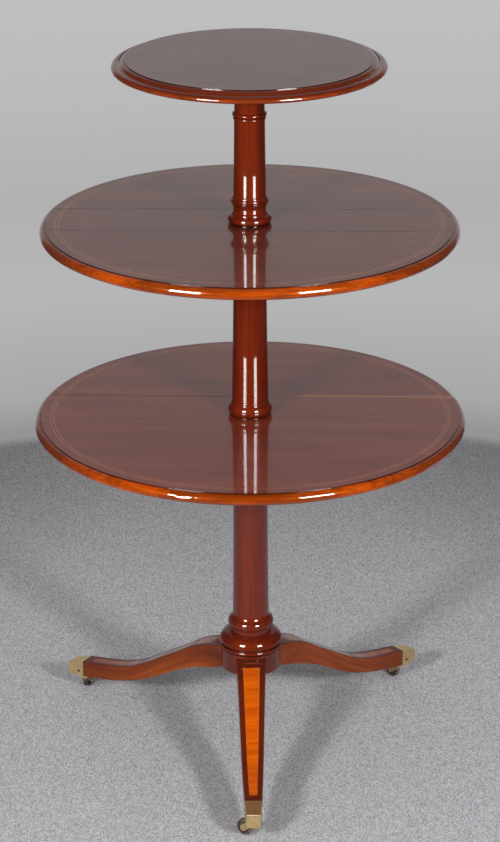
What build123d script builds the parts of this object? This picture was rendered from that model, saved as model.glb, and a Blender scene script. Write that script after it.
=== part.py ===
"""Three-tier dumbwaiter table on a turned column, with three splayed legs and brass casters.

The origin is on the column's axis at floor level, +Z is up, and the front leg points along -Y.
The top tier is fixed, and the two lower tiers revolve on the column's spigots.
"""
import os
from math import cos, radians, sin

from build123d import *

os.makedirs("parts", exist_ok=True)

# Heights of the tiers' upper faces above the floor
bottom_tier_level = 528.0
middle_tier_level = 817.5
top_tier_level = 1055.0

# Tiers
bottom_tier_diameter = 624.0
middle_tier_diameter = 596.0
top_tier_diameter = 385.0
tier_thickness = 16.0
top_tier_thickness = 15.0
centre_board_width = 101.0
bottom_centre_board_offset = 11.0
middle_centre_board_offset = 8.0
bottom_grain_turn = -2.6
middle_grain_turn = -1.8

# Thumb moulding of the two lower tiers: inset, depth and bulge at its step, belly and foot
thumb_inset = 8.8
thumb_step = 1.2
thumb_belly_depth = 9.0
thumb_upper_bulge = 2.3
thumb_lower_bulge = 1.6
thumb_foot_inset = 4.5

# Stepped moulding of the top tier, from its field out: step, ovolo, cove, quirk and roll
field_inset = 19.5
field_step = 1.2
ovolo_inset = 18.7
ovolo_foot_inset = 12.8
ovolo_foot_depth = 4.4
ovolo_bulge = 1.1
cove_foot_inset = 9.6
cove_foot_depth = 6.8
cove_hollow = 0.5
quirk_width = 0.8
quirk_rise = 0.9
roll_belly_depth = 11.0
roll_upper_bulge = 2.3
roll_lower_bulge = 0.9
roll_foot_inset = 3.5

# Boxwood stringing let into the tiers as two rings
string_width = 1.0
string_depth = 1.2
string_spacing = 4.5
string_inset = 22.0
top_string_inset = 26.5
string_gap = 0.05

# Fits
glue_gap = 0.1
turning_gap = 0.3
lift_gap = 0.4
running_gap = 0.08

# Spigots, and the bosses and washers that carry the tiers
spigot_diameter = 28.0
spigot_entry = 42.0
spigot_chamfer = 2.0
boss_diameter = 180.0
boss_thickness = 20.0
boss_edge_radius = 6.0
washer_diameter = 56.0
washer_thickness = 1.2
top_spigot_diameter = 24.0
top_block_diameter = 120.0
top_block_thickness = 16.0

# Lower column: block, foot mouldings, shaft and the collar under the tier
block_diameter = 90.0
block_bottom = 124.0
block_top = 154.4
lower_foot_height = 56.2
lower_shaft_foot_diameter = 53.6
lower_shaft_waist_diameter = 51.2
lower_shaft_top_diameter = 50.4
collar_height = 10.0
collar_diameter = 60.0

# Middle column
middle_foot_height = 23.0
middle_foot_diameter = 64.0
middle_shaft_foot_diameter = 53.4
middle_shaft_waist_diameter = 49.6
middle_shaft_top_diameter = 47.3

# Upper column
upper_foot_height = 41.6
upper_foot_diameter = 61.0
upper_shaft_foot_diameter = 46.4
upper_shaft_waist_diameter = 44.1
upper_shaft_top_diameter = 42.0
necking_level = 973.8
necking_height = 11.0
necking_diameter = 49.0

# Legs: directions, reach from the column's axis, heights above the floor, and widths
front_leg_angle = -90.0
right_leg_angle = 39.0
left_leg_angle = 148.0
leg_root = 45.0
leg_end = 300.0
leg_root_top = 149.5
leg_root_under = 113.5
leg_end_top = 54.0
leg_end_under = 28.7
leg_root_width = 43.0
leg_end_width = 24.8
leg_edge_radius = 1.0
leg_overlap_share = 0.035

# Dovetail at the head of each leg
dovetail_length = 18.0
dovetail_neck_width = 20.0
dovetail_head_width = 27.0

# Satinwood panel let into each leg
panel_thickness = 1.2
panel_start = 63.0
panel_finish = 286.0
panel_start_border = 8.35
panel_finish_border = 7.3

# Iron brace under the block
brace_diameter = 80.0
brace_thickness = 2.5
brace_screw_circle = 35.0
brace_screw_entry = 15.0

# Brass toe-caps
cap_end = 328.0
cap_end_top = 47.0
cap_end_under = 25.2
cap_end_width = 20.0
cap_wall = 1.5
cap_edge_radius = 1.2
cap_pin_share = 0.3
cap_pin_rise_share = 0.4
cap_pin_diameter = 2.6
cap_pin_head_diameter = 4.2
cap_pin_head_height = 0.5

# Casters
pivot_setback = 5.0
pivot_diameter = 4.0
pivot_entry = 8.0
pivot_head_diameter = 7.0
pivot_head_height = 1.5
wheel_diameter = 24.0
wheel_width = 8.0
wheel_hub_diameter = 8.0
wheel_dish_diameter = 18.0
wheel_dish_depth = 1.6
wheel_tread_bulge = 0.9
wheel_shoulder = 1.4
caster_trail = 14.5
front_caster_angle = 146.0
right_caster_angle = 134.0
left_caster_angle = 77.5
horn_plate_diameter = 13.2
horn_plate_thickness = 2.6
horn_root_length = 8.0
horn_cheek_thickness = 1.8
horn_cheek_gap = 0.4
horn_eye_diameter = 9.0
horn_lift = 0.4
axle_diameter = 3.0
axle_head_diameter = 5.0
axle_head_height = 0.8

# Countersunk wood screws
screw_diameter = 4.0
screw_head_diameter = 8.0
screw_slot_width = 1.0
screw_slot_depth = 0.8
screw_point_length = 4.0
screw_hole_spare = 1.0
boss_screw_circle = 75.0
boss_screw_entry = 10.0
back_screw_angles = (65.0, 115.0)
centre_screw_angles = (0.0, 180.0)
front_screw_angles = (-65.0, -115.0)
top_screw_circle = 44.0
top_screw_count = 4

# Foot mouldings upwards: shares of the widest radius, of the height, and of the radius as bulge
lower_foot_shares = (
    (1.000, 0.000, 0.0),
    (0.965, 0.012, 0.0),
    (0.965, 0.020, 0.068),
    (0.965, 0.120, 0.0),
    (0.955, 0.130, 0.0),
    (0.975, 0.180, 0.0),
    (1.044, 0.206, 0.095),
    (0.689, 0.473, 0.0),
    (0.678, 0.478, 0.0),
    (0.678, 0.589, 0.053),
    (0.724, 0.811, 0.0),
    (0.724, 0.832, -0.035),
)
middle_foot_shares = (
    (0.920, 0.000, 0.0),
    (0.920, 0.015, 0.095),
    (0.890, 0.700, 0.0),
    (0.868, 0.720, 0.0),
    (0.868, 0.850, -0.020),
)
upper_foot_shares = (
    (0.885, 0.000, 0.0),
    (0.885, 0.010, 0.158),
    (0.869, 0.291, 0.0),
    (0.846, 0.300, 0.0),
    (0.846, 0.363, -0.015),
    (0.767, 0.423, 0.0),
    (0.767, 0.543, -0.020),
    (0.925, 0.748, 0.0),
    (0.925, 0.762, 0.0),
    (0.852, 0.775, 0.015),
    (0.852, 0.856, 0.0),
    (0.807, 0.868, 0.010),
    (0.807, 0.928, -0.020),
)
# Necking of the upper column, shared over its height and widest radius in the same way
necking_shares = (
    (0.895, -0.500, 0.0),
    (0.935, -0.470, 0.020),
    (0.930, -0.200, 0.0),
    (0.900, -0.190, 0.0),
    (0.900, -0.130, 0.100),
    (0.900, 0.470, 0.0),
    (0.882, 0.500, 0.0),
)

# Leg curves: share of the reach and of the fall from root to end, the first point in the block
leg_top_shares = (
    (-leg_overlap_share, 1.014),
    (0.000, 1.000),
    (0.100, 0.945),
    (0.200, 0.840),
    (0.310, 0.660),
    (0.430, 0.475),
    (0.550, 0.285),
    (0.670, 0.145),
    (0.810, 0.062),
    (1.000, 0.000),
)
leg_under_shares = (
    (-leg_overlap_share, 1.026),
    (0.000, 1.000),
    (0.137, 0.890),
    (0.275, 0.733),
    (0.410, 0.515),
    (0.550, 0.305),
    (0.690, 0.163),
    (0.820, 0.075),
    (1.000, 0.000),
)


# Places that follow from the sizes above
leg_angles = {"front": front_leg_angle, "right": right_leg_angle, "left": left_leg_angle}
caster_angles = {
    "front": front_caster_angle,
    "right": right_caster_angle,
    "left": left_caster_angle,
}
leg_reach = leg_end - leg_root
leg_inner = leg_root - leg_reach * leg_overlap_share
pivot_radius = leg_end + pivot_setback
bottom_boss_top = bottom_tier_level - tier_thickness
bottom_boss_under = bottom_boss_top - boss_thickness
lower_shoulder = bottom_boss_under - washer_thickness
middle_boss_top = middle_tier_level - tier_thickness
middle_boss_under = middle_boss_top - boss_thickness
middle_shoulder = middle_boss_under - washer_thickness
top_board_under = top_tier_level - top_tier_thickness
upper_shoulder = top_board_under - top_block_thickness
middle_column_base = bottom_tier_level + lift_gap
upper_column_base = middle_tier_level + lift_gap
spigot_radius = spigot_diameter / 2
boss_bore_radius = spigot_radius + running_gap
tier_bore_radius = spigot_radius + turning_gap
boss_screw_length = boss_thickness + boss_screw_entry
top_screw_length = top_block_thickness + boss_screw_entry
brace_screw_length = brace_thickness + brace_screw_entry
wheel_radius = wheel_diameter / 2
horn_top = cap_end_under - horn_lift
horn_plate_under = horn_top - horn_plate_thickness
cheek_inner = wheel_width / 2 + horn_cheek_gap
cheek_outer = cheek_inner + horn_cheek_thickness


def write(part, name):
    """Label a finished piece and write it to its own file."""
    part.label = name
    export_step(part, f"parts/{name}.step")


def from_below(level):
    """Plane at a height, looking down, so that a hole made on it goes upwards."""
    return Plane(origin=(0, 0, level), x_dir=(1, 0, 0), z_dir=(0, 0, -1))


def side_plane(angle, origin=(0, 0, 0)):
    """Upright plane: its X runs along the angle and its Y is up."""
    a = radians(angle)
    return Plane(origin=origin, x_dir=(cos(a), sin(a), 0), z_dir=(sin(a), -cos(a), 0))


def plan_plane(angle, level=0.0):
    """Level plane whose X runs along the angle."""
    a = radians(angle)
    return Plane(origin=(0, 0, level), x_dir=(cos(a), sin(a), 0), z_dir=(0, 0, 1))


def trace(rows):
    """Draw a closed outline through (x, y, bulge) rows; a bulge makes the next line an arc."""
    for (x0, y0, bulge), (x1, y1, _) in zip(rows, rows[1:]):
        if bulge == 0:
            Line((x0, y0), (x1, y1))
        else:
            SagittaArc((x0, y0), (x1, y1), -bulge)
    Line(rows[-1][:2], rows[0][:2])


def turned(rows):
    """Turn a closed outline of (radius, height, bulge) rows about the column's axis."""
    with BuildPart() as piece:
        with BuildSketch(Plane.XZ):
            with BuildLine():
                trace(rows)
            make_face()
        revolve(axis=Axis.Z)
    return piece.part


def moulding(shares, base, height, radius):
    """Rows of a moulding, from its shares."""
    return [(r * radius, base + h * height, b * radius) for r, h, b in shares]


def shaft(foot_level, foot_diameter, waist_diameter, top_level, top_diameter):
    """Two rows of a tapering shaft, hollowed or swelled at its waist."""
    swell = (waist_diameter - (foot_diameter + top_diameter) / 2) / 2
    return [(foot_diameter / 2, foot_level, swell), (top_diameter / 2, top_level, 0)]


def socket(base):
    """Rows of the socket in a column's base, from the axis out to the base."""
    bore = spigot_radius + glue_gap
    return [(0, base + spigot_entry, 0), (bore, base + spigot_entry, 0), (bore, base, 0)]


def spigot(shoulder, top, diameter):
    """Rows of a spigot with a chamfered end, from the shoulder to the axis."""
    radius = diameter / 2
    return [
        (radius, shoulder, 0),
        (radius, top - spigot_chamfer, 0),
        (radius - spigot_chamfer, top, 0),
        (0, top, 0),
    ]


def collar(shoulder, shaft_diameter):
    """Rows of the turned collar that a tier's washer lies on."""
    radius = collar_diameter / 2
    neck = shaft_diameter / 2
    return [
        (neck, shoulder - collar_height, -(radius - neck) / 4),
        (radius, shoulder - collar_height / 2, 0),
        (radius, shoulder, 0),
    ]


def build_lower_column():
    """Block, foot, shaft, collar and spigot in one turning, with dovetail housings for the legs."""
    radius = block_diameter / 2
    foot_top = block_top + lower_foot_height
    rows = [(0, block_bottom, 0), (radius, block_bottom, 0)]
    rows += moulding(lower_foot_shares, block_top, lower_foot_height, radius)
    rows += shaft(
        foot_top,
        lower_shaft_foot_diameter,
        lower_shaft_waist_diameter,
        lower_shoulder - collar_height,
        lower_shaft_top_diameter,
    )[:1]
    rows += collar(lower_shoulder, lower_shaft_top_diameter)
    rows += spigot(lower_shoulder, middle_column_base + spigot_entry, spigot_diameter)
    column = turned(rows)
    with BuildPart() as piece:
        add(column)
        for angle in leg_angles.values():
            with BuildSketch(plan_plane(angle, block_bottom)):
                with BuildLine():
                    Polyline(*dovetail_outline(glue_gap), close=True)
                make_face()
            extrude(amount=leg_root_top - block_bottom + glue_gap, mode=Mode.SUBTRACT)
    write(piece.part, "lower_column")


def dovetail_outline(gap):
    """Plan of a leg's dovetail, which widens towards the column's axis."""
    head = leg_root - dovetail_length
    neck_half = dovetail_neck_width / 2 + gap
    head_half = dovetail_head_width / 2 + gap
    mouth = leg_root + dovetail_length
    return [
        (head - gap, head_half),
        (leg_root, neck_half),
        (mouth, neck_half),
        (mouth, -neck_half),
        (leg_root, -neck_half),
        (head - gap, -head_half),
    ]


def build_middle_column():
    """Foot, shaft, collar and spigot between the two lower tiers."""
    foot_top = middle_column_base + middle_foot_height
    rows = socket(middle_column_base)
    rows += moulding(
        middle_foot_shares, middle_column_base, middle_foot_height, middle_foot_diameter / 2
    )
    rows += shaft(
        foot_top,
        middle_shaft_foot_diameter,
        middle_shaft_waist_diameter,
        middle_shoulder - collar_height,
        middle_shaft_top_diameter,
    )[:1]
    rows += collar(middle_shoulder, middle_shaft_top_diameter)
    rows += spigot(middle_shoulder, upper_column_base + spigot_entry, spigot_diameter)
    write(turned(rows), "middle_column")


def build_upper_column():
    """Foot, shaft, necking and spigot under the top tier."""
    foot_top = upper_column_base + upper_foot_height
    necking = moulding(
        necking_shares, necking_level, necking_height, necking_diameter / 2
    )
    rows = socket(upper_column_base)
    rows += moulding(
        upper_foot_shares, upper_column_base, upper_foot_height, upper_foot_diameter / 2
    )
    rows += shaft(
        foot_top,
        upper_shaft_foot_diameter,
        upper_shaft_waist_diameter,
        necking[0][1],
        upper_shaft_top_diameter,
    )[:1]
    rows += necking
    rows += [(upper_shaft_top_diameter / 2, upper_shoulder, 0)]
    rows += spigot(upper_shoulder, top_board_under, top_spigot_diameter)
    write(turned(rows), "upper_column")


def string_rings(radius, inset):
    """Outer radii of the two stringing rings of a tier."""
    return (radius - inset, radius - inset - string_spacing)


def field(radius, inset, level, bore_radius):
    """Rows across a tier's upper face, from the moulding in, with a groove for each ring."""
    rows = []
    for outer in string_rings(radius, inset):
        inner = outer - string_width
        rows += [
            (outer + string_gap, level, 0),
            (outer + string_gap, level - string_depth, 0),
            (inner - string_gap, level - string_depth, 0),
            (inner - string_gap, level, 0),
        ]
    return rows + [(bore_radius, level, 0)]


def lower_tier_rows(radius, level):
    """Outline of a lower tier with its thumb moulding."""
    under = level - tier_thickness
    edge = [
        (tier_bore_radius, under, 0),
        (radius - thumb_foot_inset, under, thumb_lower_bulge),
        (radius, level - thumb_belly_depth, thumb_upper_bulge),
        (radius - thumb_inset, level - thumb_step, 0),
        (radius - thumb_inset, level, 0),
    ]
    return edge + field(radius, string_inset, level, tier_bore_radius)


def top_tier_rows(radius, level):
    """Outline of the top tier: a small ovolo and a cove, then a roll behind a quirk."""
    under = level - top_tier_thickness
    quirk_radius = radius - cove_foot_inset + quirk_width
    edge = [
        (0, under, 0),
        (radius - roll_foot_inset, under, roll_lower_bulge),
        (radius, level - roll_belly_depth, roll_upper_bulge),
        (quirk_radius, level - cove_foot_depth + quirk_rise, 0),
        (quirk_radius, level - cove_foot_depth, 0),
        (radius - cove_foot_inset, level - cove_foot_depth, -cove_hollow),
        (radius - ovolo_foot_inset, level - ovolo_foot_depth, ovolo_bulge),
        (radius - ovolo_inset, level - field_step, 0),
        (radius - field_inset, level - field_step, 0),
        (radius - field_inset, level, 0),
    ]
    return edge + field(radius, top_string_inset, level, 0)


def on_circle(radius, angles):
    """Places on a circle for holes and screws that go in from below."""
    return [(radius * cos(radians(a)), -radius * sin(radians(a))) for a in angles]


def joint_plane(turn, offset, facing):
    """Upright plane of a board joint, its normal facing the board that is kept."""
    a = radians(turn)
    across = (-sin(a) * facing, cos(a) * facing, 0)
    return Plane(origin=(-sin(a) * offset, cos(a) * offset, 0), z_dir=across)


def build_board(name, disc, level, turn, cuts, angles):
    """One board of a lower tier, cut from the disc, with pilot holes for the boss's screws."""
    with BuildPart() as piece:
        add(disc)
        for offset, facing in cuts:
            split(bisect_by=joint_plane(turn, offset, facing), keep=Keep.TOP)
        with Locations(from_below(level - tier_thickness)):
            with Locations(*on_circle(boss_screw_circle, [a + turn for a in angles])):
                Hole(screw_diameter / 2 + glue_gap, boss_screw_entry + screw_hole_spare)
    write(piece.part, name)


def build_stringing(name, radius, inset, level):
    """Two boxwood rings that lie flush in their grooves."""
    with BuildPart() as rings:
        with BuildSketch(Plane.XZ):
            for outer in string_rings(radius, inset):
                with Locations((outer - string_width / 2, level - string_depth / 2)):
                    Rectangle(string_width, string_depth)
        revolve(axis=Axis.Z)
    write(rings.part, name)


def wood_screw(length):
    """Slotted countersunk screw, its head's face at zero and its point downwards."""
    head = screw_head_diameter / 2
    shank = screw_diameter / 2
    with BuildPart() as screw:
        with BuildSketch(Plane.XZ):
            with BuildLine():
                Polyline(
                    (0, 0),
                    (head, 0),
                    (shank, shank - head),
                    (shank, screw_point_length - length),
                    (0, -length),
                    close=True,
                )
            make_face()
        revolve(axis=Axis.Z)
        with BuildSketch(Plane.XY.offset(-screw_slot_depth)):
            Rectangle(screw_head_diameter, screw_slot_width)
        extrude(amount=screw_slot_depth, mode=Mode.SUBTRACT)
    return screw.part


def build_screws(name, level, points, length):
    """A group of screws driven up from a level."""
    screw = wood_screw(length)
    with BuildPart(from_below(level)) as screws:
        with Locations(*points):
            add(screw)
    write(screws.part, name)


def countersink(level, points, depth):
    """Countersunk clearance holes up from a level, in the part being built."""
    with Locations(from_below(level)):
        with Locations(*points):
            CounterSinkHole(
                screw_diameter / 2 + glue_gap,
                screw_head_diameter / 2 + glue_gap,
                depth,
                counter_sink_angle=90,
            )


def build_block(name, top, thickness, diameter, bore_radius, points):
    """Round bearer under a tier, with a rounded lower edge, a bore and screw holes."""
    under = top - thickness
    radius = diameter / 2
    round_off = min(boss_edge_radius, thickness / 2)
    disc = turned(
        [
            (bore_radius, under, 0),
            (radius - round_off, under, round_off * (1 - cos(radians(45)))),
            (radius, under + round_off, 0),
            (radius, top, 0),
            (bore_radius, top, 0),
        ]
    )
    with BuildPart() as piece:
        add(disc)
        countersink(under, points, thickness)
    write(piece.part, name)


def build_washer(name, shoulder):
    """Brass washer between a column's collar and a tier's boss."""
    inner = spigot_radius + turning_gap
    outer = washer_diameter / 2
    top = shoulder + washer_thickness
    write(
        turned([(inner, shoulder, 0), (outer, shoulder, 0), (outer, top, 0), (inner, top, 0)]),
        name,
    )


def build_lower_tier(tier, diameter, level, shoulder, offset, turn):
    """Three boards, stringing, boss, screws and washer of a revolving tier."""
    radius = diameter / 2
    under = level - tier_thickness
    disc = turned(lower_tier_rows(radius, level))
    front = offset - centre_board_width / 2
    back = offset + centre_board_width / 2
    boards = (
        ("front", ((front, -1),), front_screw_angles),
        ("centre", ((front, 1), (back, -1)), centre_screw_angles),
        ("back", ((back, 1),), back_screw_angles),
    )
    for side, cuts, angles in boards:
        build_board(f"{tier}_{side}_board", disc, level, turn, cuts, angles)
    build_stringing(f"{tier}_stringing", radius, string_inset, level)
    every_angle = front_screw_angles + centre_screw_angles + back_screw_angles
    points = on_circle(boss_screw_circle, [a + turn for a in every_angle])
    build_block(f"{tier}_boss", under, boss_thickness, boss_diameter, boss_bore_radius, points)
    build_screws(f"{tier}_boss_screws", under - boss_thickness, points, boss_screw_length)
    build_washer(f"{tier}_washer", shoulder)


def build_top_tier():
    """Top board with its stringing, bearer block and screws."""
    radius = top_tier_diameter / 2
    spread = 360 / top_screw_count
    points = on_circle(top_screw_circle, [spread * (i + 0.5) for i in range(top_screw_count)])
    disc = turned(top_tier_rows(radius, top_tier_level))
    with BuildPart() as board:
        add(disc)
        with Locations(from_below(top_board_under)):
            with Locations(*points):
                Hole(screw_diameter / 2 + glue_gap, boss_screw_entry + screw_hole_spare)
    write(board.part, "top_board")
    build_stringing("top_stringing", radius, top_string_inset, top_tier_level)
    bore = top_spigot_diameter / 2 + glue_gap
    build_block("top_block", top_board_under, top_block_thickness, top_block_diameter, bore, points)
    build_screws("top_block_screws", upper_shoulder, points, top_screw_length)


def leg_curve(shares, root_level, end_level, drop=0.0):
    """Points of a leg's upper or lower curve, or of the same curve a little lower."""
    fall = root_level - end_level
    return [(leg_root + s * leg_reach, end_level + h * fall - drop) for s, h in shares]


def leg_top_curve(drop=0.0):
    """Upper curve of a leg."""
    return leg_curve(leg_top_shares, leg_root_top, leg_end_top, drop)


def leg_width(reach):
    """Width of a leg at a distance from the column's axis."""
    share = (reach - leg_root) / leg_reach
    return leg_root_width + (leg_end_width - leg_root_width) * share


def draw_leg_side():
    """Side outline of a leg, drawn back into the block so that its shoulder can be scooped."""
    upper = leg_top_curve()
    under = leg_curve(leg_under_shares, leg_root_under, leg_end_under)
    Spline(*upper)
    Line(upper[-1], under[-1])
    Spline(*under)
    Line(under[0], upper[0])


def draw_panel_side():
    """Side outline of the thin strip under a leg's upper curve."""
    upper = leg_top_curve()
    lower = leg_top_curve(panel_thickness)
    Spline(*upper)
    Line(upper[-1], lower[-1])
    Spline(*lower)
    Line(lower[0], upper[0])


def cap_side(inset, end_inset):
    """Corners of a toe-cap's side, moved in by a wall or a wall and a gap."""
    end = cap_end - end_inset
    return [
        (leg_end, leg_end_top - inset),
        (end, cap_end_top - inset),
        (end, cap_end_under + inset),
        (leg_end, leg_end_under + inset),
    ]


def cap_plan(inset, end_inset):
    """Corners of a toe-cap's plan, moved in the same way."""
    end = cap_end - end_inset
    root_half = leg_end_width / 2 - inset
    end_half = cap_end_width / 2 - inset
    return [(leg_end, root_half), (end, end_half), (end, -end_half), (leg_end, -root_half)]


def strip_plan(start, start_half, finish, finish_half):
    """Corners of a tapering strip in plan."""
    return [(start, start_half), (finish, finish_half), (finish, -finish_half), (start, -start_half)]


def wedge(angle, draw_side, plan):
    """Solid with a given outline from the side and another from above."""
    with BuildPart() as block:
        with BuildSketch(side_plane(angle)):
            with BuildLine():
                draw_side()
            make_face()
        extrude(amount=leg_root_width, both=True)
        with BuildSketch(plan_plane(angle)):
            with BuildLine():
                Polyline(*plan, close=True)
            make_face()
        extrude(amount=bottom_tier_level, mode=Mode.INTERSECT)
    return block.part


def panel_wedge(angle, gap):
    """A leg's satinwood panel, or with a gap the recess for it."""
    start_half = leg_width(panel_start) / 2 - panel_start_border + gap
    finish_half = leg_width(panel_finish) / 2 - panel_finish_border + gap
    plan = strip_plan(panel_start - gap, start_half, panel_finish + gap, finish_half)
    return wedge(angle, draw_panel_side, plan)


def cap_wedge(angle, inset, end_inset):
    """Outside of a toe-cap, its cavity or the toe in it."""

    def draw_side():
        Polyline(*cap_side(inset, end_inset), close=True)

    return wedge(angle, draw_side, cap_plan(inset, end_inset))


def cap_pin_place():
    """Distance out and height of the pin through a toe-cap."""
    reach = leg_end + (cap_end - leg_end) * cap_pin_share
    return (reach, leg_end_under + (cap_end_top - leg_end_under) * cap_pin_rise_share)


def cap_pin_span():
    """Half the toe-cap's width at the inner side of its pin's head."""
    reach, _ = cap_pin_place()
    share = (reach - cap_pin_head_diameter / 2 - leg_end) / (cap_end - leg_end)
    return (leg_end_width + (cap_end_width - leg_end_width) * share) / 2


def pivot_place(side):
    """Centre of a caster's pivot in plan."""
    a = radians(leg_angles[side])
    return (pivot_radius * cos(a), pivot_radius * sin(a))


def build_leg(side):
    """One leg: S curve, dovetail, recess for the panel, toe for the cap, and holes."""
    angle = leg_angles[side]
    plan = strip_plan(leg_inner, leg_width(leg_inner) / 2, leg_end, leg_end_width / 2)
    body = wedge(angle, draw_leg_side, plan)
    toe = cap_wedge(angle, cap_wall + glue_gap, cap_wall + glue_gap)
    recess = panel_wedge(angle, string_gap)
    with BuildPart() as leg:
        add(body)
        fillet(leg.edges().filter_by(lambda edge: edge.length > leg_reach), leg_edge_radius)
        with BuildSketch(Plane.XY):
            Circle(block_diameter / 2 + glue_gap)
        extrude(amount=bottom_tier_level, mode=Mode.SUBTRACT)
        with BuildSketch(plan_plane(angle, block_bottom)):
            with BuildLine():
                Polyline(*dovetail_plan(), close=True)
            make_face()
        extrude(amount=leg_root_top - block_bottom)
        add(toe)
        add(recess, mode=Mode.SUBTRACT)
        with Locations(from_below(block_bottom)):
            with Locations(*on_circle(brace_screw_circle, [angle])):
                Hole(screw_diameter / 2 + glue_gap, brace_screw_entry + screw_hole_spare)
        with BuildSketch(Plane.XY):
            with Locations(pivot_place(side)):
                Circle(pivot_diameter / 2 + glue_gap)
        extrude(amount=cap_end_under + pivot_entry + glue_gap, mode=Mode.SUBTRACT)
        with BuildSketch(side_plane(angle)):
            with Locations(cap_pin_place()):
                Circle(cap_pin_diameter / 2 + glue_gap)
        extrude(amount=leg_root_width, both=True, mode=Mode.SUBTRACT)
    write(leg.part, f"leg_{side}")


def dovetail_plan():
    """Plan of a leg's dovetail up to the middle of its root, inside the leg's shoulder."""
    head = leg_root - dovetail_length
    overlap = leg_root + dovetail_length / 2
    neck_half = dovetail_neck_width / 2
    head_half = dovetail_head_width / 2
    return [
        (head, head_half),
        (leg_root, neck_half),
        (overlap, neck_half),
        (overlap, -neck_half),
        (leg_root, -neck_half),
        (head, -head_half),
    ]


def build_brace():
    """Iron disc that ties the three dovetails together, with its screws."""
    under = block_bottom - brace_thickness
    points = on_circle(brace_screw_circle, leg_angles.values())
    with BuildPart() as brace:
        with BuildSketch(Plane.XY.offset(under)):
            Circle(brace_diameter / 2)
        extrude(amount=brace_thickness)
        countersink(under, points, brace_thickness)
    write(brace.part, "brace_plate")
    build_screws("brace_screws", under, points, brace_screw_length)


def build_toe_cap(side):
    """Brass box over the end of a leg, with a flat seat under it for the caster."""
    angle = leg_angles[side]
    outside = cap_wedge(angle, 0, 0)
    cavity = cap_wedge(angle, cap_wall, cap_wall)
    a = radians(angle)
    outward = Axis((0, 0, 0), (cos(a), sin(a), 0))
    with BuildPart() as cap:
        add(outside)
        open_end = cap.faces().sort_by(outward)[0]
        fillet(cap.edges() - open_end.edges(), cap_edge_radius)
        with BuildSketch(Plane.XY.offset(cap_end_under)):
            with Locations(pivot_place(side)):
                Circle(horn_plate_diameter / 2)
        extrude(amount=leg_end_under - cap_end_under)
        add(cavity, mode=Mode.SUBTRACT)
        with BuildSketch(Plane.XY):
            with Locations(pivot_place(side)):
                Circle(pivot_diameter / 2 + glue_gap)
        extrude(amount=leg_end_under + cap_wall, mode=Mode.SUBTRACT)
        with BuildSketch(side_plane(angle)):
            with Locations(cap_pin_place()):
                Circle(cap_pin_diameter / 2 + glue_gap)
        extrude(amount=leg_root_width, both=True, mode=Mode.SUBTRACT)
    write(cap.part, f"toe_cap_{side}")


def build_toe_cap_pins():
    """Brass pins through the toe-caps, with a low head at each end."""
    half = cap_pin_span() + cap_pin_head_height
    with BuildPart() as pins:
        for angle in leg_angles.values():
            with BuildSketch(side_plane(angle)):
                with Locations(cap_pin_place()):
                    Circle(cap_pin_diameter / 2)
            extrude(amount=half, both=True)
            for facing in (1, -1):
                seat = side_plane(angle).offset(facing * (half - cap_pin_head_height))
                with BuildSketch(seat):
                    with Locations(cap_pin_place()):
                        Circle(cap_pin_head_diameter / 2)
                extrude(amount=facing * cap_pin_head_height)
    write(pins.part, "toe_cap_pins")


def swing_plane(side, across=0.0):
    """Upright plane through a caster's pivot: its X runs towards the wheel."""
    x, y = pivot_place(side)
    return side_plane(caster_angles[side], (x, y, 0)).offset(across)


def axle_frame(side):
    """Centre of a caster's wheel and the direction of its axle."""
    a = radians(caster_angles[side])
    x, y = pivot_place(side)
    centre = (x + caster_trail * cos(a), y + caster_trail * sin(a), wheel_radius)
    return centre, (-sin(a), cos(a), 0)


def build_pivot(side):
    """Pin that the horn swivels on, riveted under it and driven up into the leg."""
    x, y = pivot_place(side)
    top = cap_end_under + pivot_entry
    with BuildPart() as pivot:
        with BuildSketch(Plane((x, y, horn_plate_under - pivot_head_height))):
            Circle(pivot_head_diameter / 2)
        extrude(amount=pivot_head_height)
        with BuildSketch(Plane((x, y, horn_plate_under))):
            Circle(pivot_diameter / 2)
        extrude(amount=top - horn_plate_under)
    write(pivot.part, f"caster_pivot_{side}")


def build_horn(side):
    """Swivelling fork: a round plate with a cheek on each side of the wheel."""
    x, y = pivot_place(side)
    root_level = (horn_top + horn_plate_under) / 2
    with BuildPart() as horn:
        for facing in (1, -1):
            with BuildSketch(swing_plane(side, facing * cheek_inner)):
                with Locations((0, root_level)):
                    Rectangle(horn_root_length, horn_plate_thickness)
                with Locations((caster_trail, wheel_radius)):
                    Circle(horn_eye_diameter / 2)
                make_hull()
            extrude(amount=facing * horn_cheek_thickness)
        with BuildSketch(Plane((x, y, horn_plate_under))):
            Circle(horn_plate_diameter / 2)
        extrude(amount=horn_plate_thickness)
        with BuildSketch(Plane((x, y, 0))):
            Circle(pivot_diameter / 2 + running_gap)
        extrude(amount=cap_end_under, mode=Mode.SUBTRACT)
        with BuildSketch(swing_plane(side)):
            with Locations((caster_trail, wheel_radius)):
                Circle(axle_diameter / 2 + glue_gap)
        extrude(amount=horn_plate_diameter, both=True, mode=Mode.SUBTRACT)
    write(horn.part, f"caster_horn_{side}")


def build_axle(side):
    """Riveted pin through the horn's cheeks and the wheel."""
    with BuildPart() as axle:
        with BuildSketch(swing_plane(side)):
            with Locations((caster_trail, wheel_radius)):
                Circle(axle_diameter / 2)
        extrude(amount=cheek_outer, both=True)
        for facing in (1, -1):
            with BuildSketch(swing_plane(side, facing * cheek_outer)):
                with Locations((caster_trail, wheel_radius)):
                    Circle(axle_head_diameter / 2)
            extrude(amount=facing * axle_head_height)
    write(axle.part, f"caster_axle_{side}")


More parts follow.
